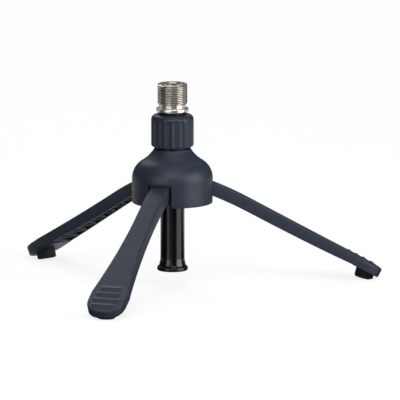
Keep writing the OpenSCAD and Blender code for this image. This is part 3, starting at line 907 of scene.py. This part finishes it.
def clamp_knob():
    """A cup-shaped knob: plain shoulder, arched flutes that run out through its lower edge, hollow
    inside."""
    per_flute, lifts = 16, 26
    columns = FLUTES * per_flute
    foot = arc(KNOB_R - KNOB_FOOT, KNOB_FOOT, KNOB_FOOT, -90, 0, 7)
    wall = [(KNOB_R, KNOB_FOOT + (KNOB_H - KNOB_SHOULDER - KNOB_FOOT) * k / lifts)
            for k in range(1, lifts)]
    shoulder = arc(KNOB_R - KNOB_SHOULDER, KNOB_H - KNOB_SHOULDER, KNOB_SHOULDER, 0, 90, 12)
    inside = [(KNOB_MOUTH + KNOB_LEAD, KNOB_H), (KNOB_MOUTH, KNOB_H - KNOB_LEAD), (KNOB_MOUTH, KNOB_ROOF),
              (KNOB_BORE, KNOB_ROOF), (KNOB_BORE, KNOB_LEAD), (KNOB_BORE + KNOB_LEAD, 0), foot[0]]
    shape = Shape()
    rows = []
    for r, z in foot + wall + shoulder + inside:
        row = []
        for j in range(columns + 1):
            angle = 360 * j / columns
            off = (j % per_flute) * 360 / columns
            off = min(off, 360 / FLUTES - off)
            outside = r > KNOB_R - KNOB_WALL
            radius = smooth_min(r, flute_radius(off, z), FLUTE_EDGE) if outside else r
            row.append(polar(radius, angle + FLUTE_PHASE, KNOB_Z + z))
        rows.append(row)
    shape.sheet(rows)
    make_piece("knob_fluted", shape.build(), "knob", "knob_plastic", ["clamp_knob"], smooth=45)


# ---------------------------------------------------------------- rod and adapter

def centre_tube():
    """The polished tube, flared at its lower end."""
    low, high = tube_low.z, tube_high.z
    flare_steps, lifts = 12, 6
    flare = [(TUBE_R + TUBE_FLARE * (1 - k / flare_steps) ** TUBE_FLARE_POWER,
              low + TUBE_FLARE_H * k / flare_steps) for k in range(flare_steps + 1)]
    foot_r = flare[0][0]
    outline = [(TUBE_R - TUBE_WALL, low), (foot_r - TUBE_EDGE, low), (foot_r, low + TUBE_EDGE)]
    outline += flare[1:]
    outline += [(TUBE_R, low + (high - low) * k / lifts) for k in range(1, lifts)]
    outline += [(TUBE_R, high - TUBE_LEAD), (TUBE_R - TUBE_LEAD, high), (TUBE_R - TUBE_WALL, high)]
    make_piece("rod_tube", lathe(outline, columns=160), "rod", "gloss_black", ["centre_tube"],
               smooth=50)


def end_cap():
    """The rounded cap under the tube, dished below, with its plug inside the tube."""
    plug_r, plug_top = TUBE_R - TUBE_WALL - PLUG_GAP, CAP_H + PLUG_L
    dish_r = CAP_R - CAP_DISH_WALL
    outline = [(0, CAP_DISH), (dish_r - CAP_DISH_LEAD, CAP_DISH), (dish_r, 0)]
    outline += arc(CAP_R - CAP_ROUND, CAP_ROUND, CAP_ROUND, -90, 0, 7)
    outline += arc(CAP_R - CAP_ROUND, CAP_H - CAP_ROUND, CAP_ROUND, 0, 90, 7)
    outline += [(plug_r, CAP_H), (plug_r, plug_top), (0, plug_top)]
    make_piece("rod_cap", lathe(outline, columns=144, base=CAP_Z), "rod", "cap_plastic", ["end_cap"],
               smooth=40)


def thread_section(phase):
    """Share of the 60 degree thread's depth below its crest, over one pitch: flat crest, flank, flat
    root, flank."""
    u = phase % 1
    if u < THREAD_CREST:
        return 0.0
    if u < THREAD_CREST + THREAD_FLANK:
        return (u - THREAD_CREST) / THREAD_FLANK
    if u < 1 - THREAD_FLANK:
        return 1.0
    return (1 - u) / THREAD_FLANK


def thread_rows(low, high):
    """The helical thread between two heights, running out into a chamfer at the top and the neck
    below."""
    steps = 14
    turns = int((high - low) / THREAD_PITCH) + 2
    rows = []
    for i in range(turns * steps + 1):
        crest_r = THREAD_R - THREAD_DEPTH * thread_section(i / steps)
        row = []
        for j in range(ADAPTER_COLUMNS + 1):
            z = low - THREAD_PITCH + THREAD_PITCH * (i / steps + j / ADAPTER_COLUMNS)
            faded = max(0, THREAD_FADE - (high - z), THREAD_FADE_SLOPE * (low + THREAD_FADE - z))
            limit = max(THREAD_R - THREAD_DEPTH, THREAD_R - faded)
            z = min(high, max(low, z))
            row.append(polar(min(limit, crest_r), 360 * j / ADAPTER_COLUMNS, ADAPTER_Z + z))
        rows.append(row)
    return rows


def thread_adapter():
    """The nickel-plated adapter: flange, neck, helical thread and plain bore."""
    low, high = THREAD_Z, ADAPTER_H
    root_r = THREAD_R - THREAD_DEPTH
    below = [(ADAPTER_BORE, BORE_LEAD), (ADAPTER_BORE + BORE_LEAD, 0)]
    below += arc(ADAPTER_FLANGE - FLANGE_EDGE, FLANGE_EDGE, FLANGE_EDGE, -90, 0, 4)
    below += arc(ADAPTER_FLANGE - FLANGE_EDGE, FLANGE_H - FLANGE_EDGE, FLANGE_EDGE, 0, 90, 4)
    below += [(ADAPTER_NECK + NECK_FILLET, FLANGE_H), (ADAPTER_NECK, FLANGE_H + NECK_FILLET),
              (ADAPTER_NECK, low - NECK_END), (root_r, low)]
    above = [(root_r, high), (ADAPTER_BORE + BORE_TOP_LEAD, high), (ADAPTER_BORE, high - BORE_TOP_LEAD),
             (ADAPTER_BORE, BORE_LEAD)]
    shape = Shape()
    for outline in (below, above):
        shape.sheet([[polar(r, 360 * j / ADAPTER_COLUMNS, ADAPTER_Z + z)
                      for j in range(ADAPTER_COLUMNS + 1)] for r, z in outline])
    shape.sheet(thread_rows(low, high))
    piece = make_piece("adapter_threaded", shape.build(), "adapter", "nickel", ["thread_adapter"],
                       smooth=30)
    mark_grooves(piece, low, high - THREAD_TOP)


def mark_grooves(piece, low, high):
    """Stores how deep in the thread each point lies, for the painted shade in its grooves."""
    values = piece.data.attributes.new("groove", "FLOAT", "POINT").data
    for vertex, value in zip(piece.data.vertices, values):
        r, z = hypot(vertex.co.x, vertex.co.y) / MM, vertex.co.z / MM - ADAPTER_Z
        if low < z < high and r > ADAPTER_BORE + BORE_LEAD:
            value.value = GROOVE_SHADE_ON_CREST + (1 - GROOVE_SHADE_ON_CREST) * min(1, (THREAD_R - r) / THREAD_DEPTH)


# ---------------------------------------------------------------- putting it together

def finish_cad_nodes():
    """Gives each CAD node that stays visible the material of its slot."""
    slots = {s["node"]: s["material_slot"] for s in frame["record"]["subparts"]}
    for name, node in frame["nodes"].items():
        if not node.hide_render:
            for slot in node.material_slots:
                slot.material = materials[slots[name]]


bpy.context.scene.view_settings.view_transform = "Standard"
make_camera()
make_floor()
make_lights()
materials = make_materials()
hub_bell()
make_legs()
clamp_knob()
centre_tube()
end_cap()
thread_adapter()
finish_cad_nodes()
